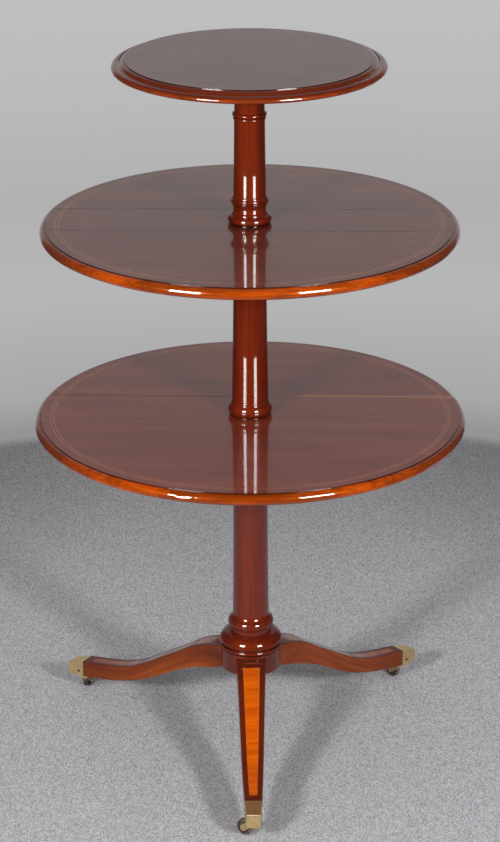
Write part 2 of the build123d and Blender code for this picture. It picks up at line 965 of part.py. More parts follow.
def build_wheel(side):
    """Dished brass wheel with a crowned tread and a hub."""
    centre, across = axle_frame(side)
    a = radians(caster_angles[side])
    half = wheel_width / 2
    bore = axle_diameter / 2 + running_gap
    hub = wheel_hub_diameter / 2
    dish = wheel_dish_diameter / 2
    floor = half - wheel_dish_depth
    shoulder = wheel_radius - wheel_shoulder
    half_rows = [(bore, half), (hub, half), (hub, floor), (dish, floor), (dish, half)]
    rows = [(w, r, 0) for r, w in half_rows]
    rows += [(half, shoulder, 0), (half - wheel_shoulder, wheel_radius, 0)]
    rows += [(wheel_shoulder - half, wheel_radius, 0), (-half, shoulder, 0)]
    rows += [(-w, r, 0) for r, w in reversed(half_rows)]
    section = Plane(origin=centre, x_dir=across, z_dir=(cos(a), sin(a), 0))
    with BuildPart() as wheel:
        with BuildSketch(section):
            with BuildLine():
                trace(rows)
            make_face()
        revolve(axis=Axis(centre, across))
    write(wheel.part, f"caster_wheel_{side}")


build_lower_column()
build_middle_column()
build_upper_column()
build_lower_tier(
    "bottom",
    bottom_tier_diameter,
    bottom_tier_level,
    lower_shoulder,
    bottom_centre_board_offset,
    bottom_grain_turn,
)
build_lower_tier(
    "middle",
    middle_tier_diameter,
    middle_tier_level,
    middle_shoulder,
    middle_centre_board_offset,
    middle_grain_turn,
)
build_top_tier()
build_brace()
build_toe_cap_pins()
for leg_side in leg_angles:
    build_leg(leg_side)
    write(panel_wedge(leg_angles[leg_side], 0), f"leg_panel_{leg_side}")
    build_toe_cap(leg_side)
    build_pivot(leg_side)
    build_horn(leg_side)
    build_axle(leg_side)
    build_wheel(leg_side)
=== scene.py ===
"""Finishes and studio for a three-tier dumbwaiter table.

Polished mahogany boards, turned columns, satinwood panels, boxwood stringing and worn brass are
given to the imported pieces. Every pattern is worked out from the pieces' own coordinates in metres.
"""
from collections import namedtuple
from math import cos, radians, sin

import bpy
from bpy.props import FloatProperty, FloatVectorProperty, PointerProperty
from bpy.types import Operator, Panel, PropertyGroup
from mathutils import Matrix, Vector


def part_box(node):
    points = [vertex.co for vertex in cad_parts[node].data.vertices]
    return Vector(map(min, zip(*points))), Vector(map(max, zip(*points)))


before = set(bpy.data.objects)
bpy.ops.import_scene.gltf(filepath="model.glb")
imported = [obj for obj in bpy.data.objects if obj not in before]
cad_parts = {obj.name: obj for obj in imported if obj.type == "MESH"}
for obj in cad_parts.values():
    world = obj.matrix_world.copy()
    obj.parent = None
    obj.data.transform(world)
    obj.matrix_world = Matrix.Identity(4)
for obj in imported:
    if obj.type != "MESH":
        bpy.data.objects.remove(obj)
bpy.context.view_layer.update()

bl_info = {
    "name": "Dumbwaiter table",
    "version": (1, 0, 0),
    "blender": (4, 5, 0),
    "location": "View3D > Sidebar > Dumbwaiter",
    "description": "Finishes for a turned mahogany dumbwaiter table and a plain studio",
    "category": "Object",
}

MM = 0.001
TIERS = ("bottom", "middle")
SIDES = ("front", "right", "left")
LEG_ANGLES = {"front": -90.0, "right": 39.0, "left": 148.0}
LEG_BEND = (60 * MM, 250 * MM)
LEG_DROP = 90 * MM
LEG_FOOT = (0.20, 0.30)
PANEL_START = 63 * MM
GRAIN_TURNS = {"bottom": -2.6, "middle": -1.8}
JOINTS = {"bottom": (-39.5 * MM, 61.5 * MM), "middle": (-42.5 * MM, 58.5 * MM)}
PALE_JOINT = JOINTS["bottom"][0]
SAPWOOD_JOINT = JOINTS["bottom"][1]
SAPWOOD = (0.4 * MM, 1.2 * MM, 8 * MM, 16 * MM)
ROLL_DEPTH = 7 * MM
ROLL_FADE = 4 * MM
# Near-black for dirt in glue joints, and for painted shade in hollows and in the step of the moulded
# edge.
DIRT_AND_SHADE = (0.012, 0.003, 0.001, 1.0)
RUST = (0.10, 0.035, 0.012, 1.0)
BACKDROP = ((1.33, 0.30), (1.49, 0.39), (2.1, 0.47), (2.8, 0.44), (3.7, 0.49), (4.7, 0.52))
PAPER = ((0.2, 0.43), (0.4, 0.29))
SKY = ((0.0, 0.12), (0.8, 0.45))
LAMP_WAYS = {"left": -34, "right": 33}
LAMP_REACH = 3.2
LAMP_HEIGHT = 1.75
LAMP_AIM = 0.8
SOFTBOX_SIZE = (0.95, 0.9)
FILL_SIZE = (0.4, 0.4)

Tones = namedtuple("Tones", "dark middle light")


def colour_property(name, description, default):
    """A colour that the user can change."""
    return FloatVectorProperty(
        name=name,
        description=description,
        default=(*default, 1.0),
        size=4,
        min=0.0,
        max=1.0,
        subtype="COLOR",
    )


def length_property(name, description, default):
    """A length in metres that the user can change."""
    return FloatProperty(
        name=name, description=description, default=default, min=0.0, unit="LENGTH"
    )


def angle_property(name, description, degrees):
    """An angle that the user can change, given here in degrees."""
    return FloatProperty(
        name=name, description=description, default=radians(degrees), subtype="ANGLE"
    )


def share_property(name, description, default):
    """A number from 0 to 1 that the user can change."""
    return FloatProperty(
        name=name, description=description, default=default, min=0.0, max=1.0, subtype="FACTOR"
    )


class ColumnSettings(PropertyGroup):
    """Colours and gloss of the turned columns."""

    dark: colour_property("Dark", "Darkest streaks", (0.050, 0.0040, 0.0010))
    middle: colour_property("Middle", "Body colour", (0.095, 0.0070, 0.0015))
    light: colour_property("Light", "Lightest streaks", (0.140, 0.0150, 0.0030))
    glow: colour_property("Glow", "Light sent back by the fibres", (0.40, 0.060, 0.012))
    polish: share_property("Polish", "Roughness of the polish", 0.04)


class LegSettings(PropertyGroup):
    """Colours and gloss of the legs."""

    dark: colour_property("Dark", "Darkest streaks", (0.062, 0.0090, 0.0026))
    middle: colour_property("Middle", "Body colour", (0.185, 0.0310, 0.0045))
    light: colour_property("Light", "Lightest streaks", (0.330, 0.0800, 0.0070))
    # The upper face around the panel is painted darker than the sides: painted shade.
    upper_shade: colour_property("Border", "Upper face around the panel", (0.080, 0.0090, 0.0030))
    glow: colour_property("Glow", "Light sent back by the fibres", (0.40, 0.080, 0.015))
    polish: share_property("Polish", "Roughness of the polish", 0.10)


class BoardSettings(PropertyGroup):
    """Colours, gloss and edges of the tiers' boards."""

    dark: colour_property("Dark", "Darkest streaks", (0.072, 0.0110, 0.0048))
    middle: colour_property("Middle", "Body colour", (0.112, 0.0190, 0.0085))
    light: colour_property("Light", "Lightest streaks", (0.152, 0.0310, 0.0140))
    # Rim: a brighter, warmer copy of the mahogany on the moulded edge that faces the lamps: painted
    # light.
    rim: colour_property("Rim", "Warm colour of the moulded edge", (0.43, 0.058, 0.001))
    # The edge's flanks show end grain and turn away from the lamps: end grain and painted shade.
    end_grain_and_shade: colour_property("End grain", "Edge across the grain", (0.15, 0.022, 0.004))
    ovolo: colour_property("Ovolo", "Upper mouldings of the top tier", (0.10, 0.014, 0.004))
    sapwood: colour_property("Sapwood", "Pale streak beside a joint", (0.32, 0.100, 0.032))
    glow: colour_property("Glow", "Light sent back by the fibres", (0.60, 0.100, 0.040))
    polish: share_property("Polish", "Roughness of the polish", 0.05)
    sheen: colour_property("Sheen", "The same glow on the moulded edge", (0.45, 0.12, 0.02))
    worn: share_property("Worn", "Roughness under the polish of the moulded edge", 0.30)
    ground: share_property("Ground", "Least roughness under the polish elsewhere", 0.22)
    seam: length_property("Seam", "Half the width of the line at a glue joint", 2.0 * MM)
    # Quirk: a dark line in the step inside the moulded edge: painted shade of the step, and dirt.
    quirk: length_property("Quirk", "Width of the dark line inside the moulded edge", 2.0 * MM)
    arris: length_property("Arris", "Worn rounding of the sharp edges", 0.5 * MM)
    bottom_gain: FloatProperty(
        name="Bottom gain", description="How much redder the bottom tier is", default=1.4, min=0.0
    )
    middle_gain: FloatProperty(
        name="Middle gain", description="The same for the middle tier", default=1.05, min=0.0
    )
    rim_inset: length_property("Rim inset", "Moulding of the lower tiers", 8.8 * MM)
    top_rim_inset: length_property("Top rim inset", "Moulding of the top tier", 19.5 * MM)


class TopSettings(PropertyGroup):
    """Darker colours of the small top tier."""

    dark: colour_property("Dark", "Darkest streaks", (0.055, 0.0090, 0.0050))
    middle: colour_property("Middle", "Body colour", (0.075, 0.0130, 0.0080))
    light: colour_property("Light", "Lightest streaks", (0.100, 0.0200, 0.0120))
    # The top tier's roll is a brighter copy of its mahogany where it faces the lamps: painted light.
    rim: colour_property("Rim", "Roll along the lower edge", (0.26, 0.032, 0.003))


class PanelSettings(PropertyGroup):
    """Colours and measures of the satinwood panels and the stringing."""

    dark: colour_property("Dark", "Dark cross lines", (0.34, 0.042, 0.001))
    middle: colour_property("Middle", "Body colour", (0.56, 0.088, 0.001))
    light: colour_property("Light", "Bright bands", (0.62, 0.110, 0.001))
    shade: share_property("Shade", "Depth of the two side panels' colour", 0.45)
    boxwood: colour_property("Boxwood", "Stringing", (0.46, 0.150, 0.040))
    faded: colour_property("Faded", "Stringing of the top tier", (0.30, 0.105, 0.050))
    glow: colour_property("Glow", "Light sent back by the fibres", (0.30, 0.080, 0.004))
    polish: share_property("Polish", "Roughness of the polish", 0.08)
    wide_end: length_property("Wide end", "Half the panel's width at its start", 12.5 * MM)
    taper: share_property("Taper", "How fast that half narrows outwards", 0.0309)


class BrassSettings(PropertyGroup):
    """Colours and wear of the brass and the iron."""

    bright: colour_property("Bright", "Rubbed brass", (0.62, 0.46, 0.22))
    dull: colour_property("Dull", "Dull brass", (0.42, 0.30, 0.15))
    # Edge: brass rubbed bare on the arrises, together with a painted highlight there.
    edge: colour_property("Edge", "Edges rubbed bare", (0.90, 0.74, 0.48))
    # Worn: the side toe-caps' upper faces are painted lighter: painted light.
    worn: colour_property("Worn", "Upper faces of the side toe-caps", (0.72, 0.56, 0.30))
    # Brown: the front toe-cap's upper face is painted a duller brown: painted reflection of the
    # room.
    brown: colour_property("Brown", "Upper face of the front toe-cap", (0.40, 0.200, 0.085))
    wheel: colour_property("Wheel", "Greyed brass of the casters", (0.28, 0.215, 0.170))
    metal: share_property("Metal", "The rest is dirt and oxide", 0.85)
    arris: length_property("Arris", "Width of the bright edges", 0.9 * MM)
    tarnish: colour_property("Tarnish", "Tarnish in hollows", (0.060, 0.034, 0.014))
    iron: colour_property("Iron", "Iron and old steel", (0.070, 0.064, 0.058))


class StageSettings(PropertyGroup):
    """Camera, floor and lamps."""

    distance: length_property("Distance", "Camera in front of the column", 3.876)
    height: length_property("Height", "Camera above the floor", 2.0403)
    heading: angle_property("Heading", "Camera's way round the column", -0.6)
    pitch: angle_property("Pitch", "Camera's tilt below level", 21.49)
    roll: angle_property("Roll", "Camera's roll", -0.15)
    lens: FloatProperty(
        name="Lens", description="Focal length in millimetres", default=122.43, min=1.0
    )
    shift: FloatProperty(name="Shift", description="Shift of the lens sideways", default=-0.0003)
    near_floor: colour_property("Near floor", "Pale carpet in front", (0.565, 0.565, 0.585))
    # The carpet is painted darker further back: painted falloff of the light.
    shaded_far_floor: colour_property("Far floor", "The same carpet behind", (0.40, 0.40, 0.413))
    carpet: length_property("Carpet", "How far the carpet reaches", 1.27)
    room: share_property("Room", "Brightness of the room beside the backdrop", 0.04)
    softbox: FloatProperty(
        name="Softbox", description="Watts of each softbox in the polish", default=180.0, min=0.0
    )
    fill: FloatProperty(
        name="Fill", description="Watts of each front lamp on the colours", default=80.0, min=0.0
    )


def put(tree, kind, inputs=None, **settings):
    """Add a node; its inputs are sockets to link or plain values."""
    made = tree.nodes.new(kind)
    for key, value in settings.items():
        setattr(made, key, value)
    for key, value in (inputs or {}).items():
        if isinstance(value, bpy.types.NodeSocket):
            tree.links.new(value, made.inputs[key])
        else:
            made.inputs[key].default_value = value
    return made


def maths(tree, operation, *values, clamp=False):
    """Result of a Math node."""
    made = put(tree, "ShaderNodeMath", dict(enumerate(values)), operation=operation)
    made.use_clamp = clamp
    return made.outputs[0]


def stretch(tree, vector, scale, place=(0, 0, 0)):
    """A vector scaled by axis and then moved."""
    inputs = {0: vector, 1: scale, 2: place}
    return put(tree, "ShaderNodeVectorMath", inputs, operation="MULTIPLY_ADD").outputs[0]


def noise(tree, vector, detail, roughness=0.55):
    """Noise of unit scale over a vector."""
    inputs = {"Vector": vector, "Scale": 1.0, "Detail": detail, "Roughness": roughness}
    return put(tree, "ShaderNodeTexNoise", inputs).outputs[0]


def between(tree, value, low, high):
    """0 where a value is at low, 1 where it is at high, smooth between."""
    inputs = {"Value": value, "From Min": low, "From Max": high}
    made = put(tree, "ShaderNodeMapRange", inputs, interpolation_type="SMOOTHSTEP")
    return made.outputs[0]


def mixed(tree, factor, first, second):
    """Two colours mixed by a factor."""
    made = put(tree, "ShaderNodeMix", {0: factor}, data_type="RGBA")
    for index, value in ((6, first), (7, second)):
        if isinstance(value, bpy.types.NodeSocket):
            tree.links.new(value, made.inputs[index])
        else:
            made.inputs[index].default_value = tuple(value)
    return made.outputs[2]


def mixed_tone(first, second):
    """The tone halfway between two."""
    return tuple((one + other) / 2 for one, other in zip(first, second))


def tones(tree, factor, *stops):
    """A colour ramp of (place, colour) stops."""
    made = put(tree, "ShaderNodeValToRGB", {0: factor})
    ramp = made.color_ramp
    while len(ramp.elements) < len(stops):
        ramp.elements.new(1.0)
    for element, (place, colour) in zip(ramp.elements, stops):
        element.position = place
        element.color = tuple(colour)
    return made.outputs[0]


def new_finish(name):
    """An empty material with its principled shader."""
    finish = bpy.data.materials.new(name)
    finish.use_nodes = True
    tree = finish.node_tree
    return finish, tree, tree.nodes["Principled BSDF"]


def feed(tree, shader, inputs):
    """Link or set the inputs of the principled shader."""
    for key, value in inputs.items():
        if isinstance(value, bpy.types.NodeSocket):
            tree.links.new(value, shader.inputs[key])
        else:
            shader.inputs[key].default_value = value


def coordinates(tree, turn=(0, 0, 0), place=(0, 0, 0)):
    """Object coordinates, moved and then turned by angles in degrees."""
    source = put(tree, "ShaderNodeTexCoord").outputs["Object"]
    inputs = {
        "Vector": source,
        "Location": place,
        "Rotation": [radians(angle) for angle in turn],
    }
    return put(tree, "ShaderNodeMapping", inputs, vector_type="POINT").outputs[0]


def split(tree, vector):
    """The three numbers of a vector."""
    return put(tree, "ShaderNodeSeparateXYZ", {0: vector}).outputs


def mixed_number(tree, factor, first, second):
    """Two numbers mixed by a factor."""
    made = put(tree, "ShaderNodeMix", {0: factor, 2: first, 3: second}, data_type="FLOAT")
    return made.outputs[0]


def reach(tree, vector):
    """Distance from the column's axis."""
    flat = stretch(tree, vector, (1, 1, 0))
    return put(tree, "ShaderNodeVectorMath", {0: flat}, operation="LENGTH").outputs["Value"]


def bump(tree, height, distance, strength=1.0, normal=None):
    """Normal of a bump whose height is in metres."""
    inputs = {"Height": height, "Distance": distance, "Strength": strength}
    if normal is not None:
        inputs["Normal"] = normal
    return put(tree, "ShaderNodeBump", inputs).outputs[0]


def hollows(tree, distance):
    """Ambient occlusion: 1 in the open, less in hollows, where shade falls and polish, dirt and
    tarnish gather.
    """
    inputs = {"Distance": distance}
    made = put(tree, "ShaderNodeAmbientOcclusion", inputs, samples=6, only_local=False)
    return made.outputs["AO"]


def hollow_shade_and_dirt(tree, colour, distance, low, high, depth):
    """The colour of a wood, darkened in its hollows: painted shade, with old polish gathered there.
    """
    open_air = between(tree, hollows(tree, distance), low, high)
    return mixed(tree, open_air, mixed(tree, depth, colour, DIRT_AND_SHADE), colour)


def grain(tree, vector, settings):
    """Colour, pores and level of mahogany whose grain runs along X."""
    warp = noise(tree, stretch(tree, vector, (3, 9, 9)), detail=2.0)
    drift = put(tree, "ShaderNodeCombineXYZ", {1: maths(tree, "MULTIPLY", warp, 12 * MM)})
    wave = put(tree, "ShaderNodeVectorMath", {0: vector, 1: drift.outputs[0]}).outputs[0]
    broad = noise(tree, stretch(tree, wave, (2.2, 26, 26)), detail=4.0, roughness=0.6)
    streaks = noise(tree, stretch(tree, wave, (7, 210, 210)), detail=4.0, roughness=0.65)
    fleck = noise(tree, stretch(tree, wave, (95, 1500, 1500)), detail=1.0)
    level = maths(tree, "MULTIPLY_ADD", broad, 0.62, maths(tree, "MULTIPLY", streaks, 0.38))
    stops = ((0.34, settings.dark), (0.50, settings.middle), (0.66, settings.light))
    colour = tones(tree, level, *stops)
    pores = between(tree, fleck, 0.60, 0.70)
    return mixed(tree, maths(tree, "MULTIPLY", pores, 0.35), colour, settings.dark), pores, level


def smeared(tree, vector, least):
    """Roughness under the polish, from a least value upwards."""
    smear = noise(tree, stretch(tree, vector, (11, 17, 17)), detail=5.0, roughness=0.7)
    return maths(tree, "MULTIPLY_ADD", smear, 0.20, least)


def polished(tree, shader, colour, pores, settings, vector, arris=None, rough=None, changes=None):
    """French polish with faint ripples over a wood whose fibres send back a soft coloured glow."""
    ripple = noise(tree, stretch(tree, vector, (26, 26, 26)), detail=1.5)
    inputs = {
        "Base Color": colour,
        "Roughness": smeared(tree, vector, 0.50) if rough is None else rough,
        "Specular IOR Level": 1.0,
        "Specular Tint": settings.glow,
        "Coat Weight": 1.0,
        "Coat Roughness": settings.polish,
        "Coat IOR": 1.5,
        "Normal": bump(tree, pores, -0.04 * MM, strength=0.4),
        "Coat Normal": bump(tree, ripple, 0.01 * MM, strength=0.15, normal=arris),
    }
    inputs.update(changes or {})
    feed(tree, shader, inputs)


def give(node, finish):
    """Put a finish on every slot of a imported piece."""
    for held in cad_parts[node].material_slots:
        held.material = finish


def turned_finish(name, settings, place):
    """Polished mahogany for a turned piece, its grain along the column."""
    finish, tree, shader = new_finish(name)
    vector = coordinates(tree, (0, 90, 0), place)
    colour, pores, _ = grain(tree, vector, settings)
    # Hollows darkened: painted shade, with old polish.
    colour = hollow_shade_and_dirt(tree, colour, 6 * MM, 0.35, 0.80, depth=0.85)
    polished(tree, shader, colour, pores, settings, vector)
    return finish


def leg_finish(name, settings, angle):
    """Polished mahogany for a leg: streaks along its bend, a darker foot, and painted shade on its
    upper face.
    """
    finish, tree, shader = new_finish(name)
    out = reach(tree, coordinates(tree))
    sweep = maths(tree, "MULTIPLY", between(tree, out, *LEG_BEND), LEG_DROP)
    sweep = put(tree, "ShaderNodeCombineXYZ", {1: angle / 100, 2: sweep}).outputs[0]
    vector = coordinates(tree, (0, 0, -angle))
    vector = put(tree, "ShaderNodeVectorMath", {0: vector, 1: sweep}).outputs[0]
    colour, pores, _ = grain(tree, vector, settings)
    foot = maths(tree, "MULTIPLY", between(tree, out, *LEG_FOOT), 0.55)
    colour = mixed(tree, foot, colour, settings.dark)
    facing = split(tree, put(tree, "ShaderNodeNewGeometry").outputs["Normal"])[2]
    # Faces that point upwards are painted darker: painted shade.
    colour = mixed(tree, between(tree, facing, 0.25, 0.50), colour, settings.upper_shade)
    # Hollows darkened: painted shade, with old polish.
    colour = hollow_shade_and_dirt(tree, colour, 8 * MM, 0.30, 0.85, depth=0.8)
    polished(tree, shader, colour, pores, settings, vector, changes={"Coat Weight": 0.5})
    return finish


def seamed(tree, vector, colour, joints, settings):
    """The colour with its glue joints and sapwood, and 1 in a joint, less beside it."""
    along, across, _ = split(tree, vector)
    patchy = noise(tree, stretch(tree, vector, (9, 2, 0)), detail=3.0, roughness=0.7)
    strength = maths(tree, "MULTIPLY_ADD", between(tree, patchy, 0.35, 0.60), 0.55, 0.30)
    groove = 0.0
    for joint in joints:
        away = maths(tree, "ABSOLUTE", maths(tree, "SUBTRACT", across, joint))
        seam = between(tree, away, settings.seam, settings.seam / 4)
        seam = maths(tree, "MULTIPLY", seam, strength)
        tone = DIRT_AND_SHADE
        if joint == PALE_JOINT:
            tone = settings.sapwood
            seam = maths(tree, "MULTIPLY", seam, between(tree, along, 0.06, -0.04))
        groove = maths(tree, "MAXIMUM", groove, seam)
        colour = mixed(tree, seam, colour, tone)
    if SAPWOOD_JOINT in joints:
        starts, full, fades, ends = SAPWOOD
        depth = maths(tree, "SUBTRACT", across, SAPWOOD_JOINT)
        band = between(tree, depth, starts, full)
        band = maths(tree, "MULTIPLY", band, between(tree, depth, ends, fades))
        band = maths(tree, "MULTIPLY", band, between(tree, along, 0.03, 0.09))
        band = maths(tree, "MULTIPLY", band, 0.8)
        colour = mixed(tree, band, colour, settings.sapwood)
    return colour, groove


def worn_arris(tree, radius):
    """Normal that rounds the sharp edges a little, so that they catch the light."""
    return put(tree, "ShaderNodeBevel", {"Radius": radius}, samples=6).outputs[0]


def strengthened(settings, gain):
    """The three tones of a wood, with more red in them."""
    red = Vector((gain, gain**0.5, gain**0.5, 1.0))
    return Tones(*(Vector(tone) * red for tone in (settings.dark, settings.middle, settings.light)))


def moulding(tree, vector, level, settings, warm, radius, roll):
    """Colour of a board's moulded edge: a brighter, warmer copy of the mahogany where it faces the
    lamps, painted light; darker on the flanks, which show end grain and turn away from the lamps,
    painted shade.
    """
    along, _, high = split(tree, vector)
    shaded = tuple(0.45 * value for value in warm)
    rim = mixed(tree, between(tree, level, 0.42, 0.60), shaded, warm)
    if roll is not None:
        rim = mixed(tree, between(tree, high, roll, roll - ROLL_FADE), settings.ovolo, rim)
    flank = maths(tree, "DIVIDE", maths(tree, "ABSOLUTE", along), radius)
    return mixed(tree, between(tree, flank, 0.60, 0.97), rim, settings.end_grain_and_shade)


def board_finish(name, settings, tint, warm, radius, inset, turn, joints, seed, roll=None):
    """Polished mahogany for a tier's board, with its moulded edge and its glue joints."""
    finish, tree, shader = new_finish(name)
    vector = coordinates(tree, (0, 0, -turn))
    shifted = stretch(tree, vector, (1, 1, 1), (seed * 1.7, seed * 0.9, seed * 0.4))
    colour, pores, level = grain(tree, shifted, tint)
    colour, groove = seamed(tree, vector, colour, joints, settings)
    dust = noise(tree, stretch(tree, shifted, (420, 420, 420)), detail=0.0)
    specks = maths(tree, "MULTIPLY", between(tree, dust, 0.80, 0.86), 0.6)
    colour = mixed(tree, specks, colour, settings.sapwood)
    gap = maths(tree, "SUBTRACT", reach(tree, vector), radius - inset)
    out = between(tree, gap, -0.2 * MM, 0.4 * MM)
    colour = mixed(tree, out, colour, moulding(tree, vector, level, settings, warm, radius, roll))
    # Dark line in the step inside the moulded edge: painted shade of the step, with dirt.
    line = between(tree, gap, settings.quirk, settings.quirk / 2)
    line = maths(tree, "MULTIPLY", between(tree, gap, -0.4 * MM, 0), line)
    colour = mixed(tree, maths(tree, "MULTIPLY", line, 0.8), colour, DIRT_AND_SHADE)
    # Hollows darkened: painted shade, with old polish.
    colour = hollow_shade_and_dirt(tree, colour, 3 * MM, 0.40, 0.80, depth=0.8)
    rough = mixed_number(tree, out, smeared(tree, vector, settings.ground), settings.worn)
    changes = {
        "Specular IOR Level": 0.5,
        "Specular Tint": mixed(tree, out, settings.glow, settings.sheen),
        "Coat Weight": maths(tree, "MULTIPLY_ADD", groove, -1.0, 1.0) if joints else 1.0,
    }
    groove = bump(tree, groove, -0.1 * MM, normal=worn_arris(tree, settings.arris))
    polished(tree, shader, colour, pores, settings, vector, groove, rough, changes)
    return finish


def plain_finish(name, settings, seed):
    """Oiled mahogany under the tiers, duller than what shows."""
    finish, tree, shader = new_finish(name)
    vector = coordinates(tree, (0, 0, 90), (seed * 0.3, seed * 0.7, 0))
    colour, pores, _ = grain(tree, vector, settings)
    feed(
        tree,
        shader,
        {"Base Color": colour, "Roughness": 0.55, "Normal": bump(tree, pores, -0.05 * MM)},
    )
    return finish


def satinwood_finish(name, settings, angle):
    """Satinwood with thin dark lines across the panel and a pale line along each edge."""
    finish, tree, shader = new_finish(name)
    vector = coordinates(tree, (0, 0, -angle))
    along, across, _ = split(tree, vector)
    shrink = maths(tree, "SUBTRACT", along, PANEL_START)
    half = maths(tree, "MULTIPLY_ADD", shrink, -settings.taper, settings.wide_end)
    near_edge = maths(tree, "DIVIDE", maths(tree, "ABSOLUTE", across), half)
    tilted = maths(tree, "MULTIPLY_ADD", across, 0.06, maths(tree, "ADD", along, angle / 7))
    shade = 1.0 if angle == LEG_ANGLES["front"] else settings.shade
    tones_used = [
        tuple(value * shade for value in tone)
        for tone in (mixed_tone(settings.dark, settings.middle), settings.middle, settings.light)
    ]
    bands = put(tree, "ShaderNodeTexNoise", {"W": tilted, "Scale": 70.0, "Detail": 2.0},
                noise_dimensions="1D").outputs[0]
    colour = tones(tree, bands, *zip((0.32, 0.50, 0.68), tones_used))
    lines = put(tree, "ShaderNodeTexNoise", {"W": tilted, "Scale": 230.0, "Detail": 1.0},
                noise_dimensions="1D").outputs[0]
    broken = noise(tree, stretch(tree, vector, (300, 60, 60)), detail=1.0)
    line = maths(tree, "MULTIPLY", between(tree, lines, 0.62, 0.72),
                 between(tree, broken, 0.30, 0.60))
    colour = mixed(tree, maths(tree, "MULTIPLY", line, 0.8), colour, settings.dark)
    pale = maths(tree, "MULTIPLY", between(tree, near_edge, 0.86, 0.93), 0.35)
    colour = mixed(tree, pale, colour, settings.boxwood)
    fine = noise(tree, stretch(tree, vector, (120, 1300, 1300)), detail=2.0)
    polished(tree, shader, colour, between(tree, fine, 0.60, 0.72), settings, vector)
    return finish


def stringing_finish(name, wood):
    """Boxwood lines, a little worn and dirty along their length."""
    finish, tree, shader = new_finish(name)
    vector = coordinates(tree)
    worn = noise(tree, stretch(tree, vector, (55, 55, 55)), detail=4.0, roughness=0.7)
    dirt = tuple(value * 0.35 for value in wood[:3]) + (1.0,)
    colour = tones(tree, worn, (0.36, dirt), (0.55, wood))
    feed(
        tree,
        shader,
        {
            "Base Color": colour,
            "Roughness": 0.4,
            "Coat Weight": 1.0,
            "Coat Roughness": 0.07,
        },
    )
    return finish


def brass_finish(name, settings, rubbed, painted_top=None):
    """Old brass: bright edges, rubbed bare and with a painted highlight along them, tarnished
    hollows and, where given, another tone painted on its upper faces: painted light and reflection.
    """
    finish, tree, shader = new_finish(name)
    vector = coordinates(tree)
    cloud = noise(tree, stretch(tree, vector, (140, 140, 140)), detail=5.0, roughness=0.65)
    speck = noise(tree, stretch(tree, vector, (700, 700, 700)), detail=2.0)
    open_air = between(tree, hollows(tree, 4 * MM), 0.25, 0.85)
    level = maths(tree, "MULTIPLY_ADD", cloud, 1.2, rubbed - 0.60, clamp=True)
    colour = mixed(tree, level, settings.dull, settings.bright)
    plain = put(tree, "ShaderNodeNewGeometry").outputs["Normal"]
    if painted_top is not None:
        # Upper faces take another tone by which way they face: painted light.
        facing = between(tree, split(tree, plain)[2], 0.55, 0.80)
        colour = mixed(tree, maths(tree, "MULTIPLY", facing, 0.9), colour, painted_top)
    spots = maths(tree, "MULTIPLY", between(tree, speck, 0.58, 0.70), 0.6)
    colour = mixed(tree, spots, colour, settings.tarnish)
    # Bright edges where the rounded normal turns from the face: rubbed brass and a painted
    # highlight.
    inputs = {0: plain, 1: worn_arris(tree, settings.arris)}
    edge = put(tree, "ShaderNodeVectorMath", inputs, operation="DOT_PRODUCT").outputs["Value"]
    colour = mixed(tree, between(tree, edge, 0.998, 0.94), colour, settings.edge)
    colour = mixed(tree, open_air, settings.tarnish, colour)
    feed(
        tree,
        shader,
        {
            "Base Color": colour,
            "Metallic": settings.metal,
            "Roughness": maths(tree, "MULTIPLY_ADD", cloud, 0.30, 0.35),
            "Normal": bump(tree, speck, 0.05 * MM, strength=0.5),
        },
    )
    return finish


def wheel_finish(name, settings, side):
    """Greyed brass of a caster wheel with dirt in its dish; the left one is painted nearly black:
    painted shade under its leg.
    """
    finish, tree, shader = new_finish(name)
    vector = coordinates(tree)
    cloud = noise(tree, stretch(tree, vector, (260, 260, 260)), detail=4.0, roughness=0.65)
    # The left wheel is painted nearly black: painted shade under its leg.
    depth = 0.25 if side == "left" else 1.0
    grey_brass = tuple(value * depth for value in settings.wheel)
    colour = mixed(tree, between(tree, cloud, 0.35, 0.65), settings.tarnish, grey_brass)
    open_air = between(tree, hollows(tree, 5 * MM), 0.45, 0.95)
    colour = mixed(tree, open_air, settings.tarnish, colour)
    feed(
        tree,
        shader,
        {
            "Base Color": colour,
            "Metallic": 0.6,
            "Roughness": maths(tree, "MULTIPLY_ADD", cloud, 0.30, 0.35),
            "Normal": bump(tree, cloud, 0.05 * MM, strength=0.5),
        },
    )
    return finish


def iron_finish(name, settings):
    """Blackened iron and old steel."""
    finish, tree, shader = new_finish(name)
    vector = coordinates(tree)
    cloud = noise(tree, stretch(tree, vector, (220, 220, 220)), detail=5.0, roughness=0.7)
    colour = mixed(tree, between(tree, cloud, 0.50, 0.70), settings.iron, RUST)
    feed(
        tree,
        shader,
        {
            "Base Color": colour,
            "Metallic": 0.8,
            "Roughness": maths(tree, "MULTIPLY_ADD", cloud, 0.35, 0.35),
            "Normal": bump(tree, cloud, 0.08 * MM, strength=0.6),
        },
    )
    return finish


class TABLE_OT_columns(Operator):
    """Polish the three turned columns"""

    bl_idname = "table.columns"
    bl_label = "Columns"

    def execute(self, context):
        settings = context.scene.table_columns
        for index, node in enumerate(("lower_column", "middle_column", "upper_column")):
            place = (index * 0.37, index * 0.21, 0)
            give(node, turned_finish(f"{node}_mahogany", settings, place))
        return {"FINISHED"}


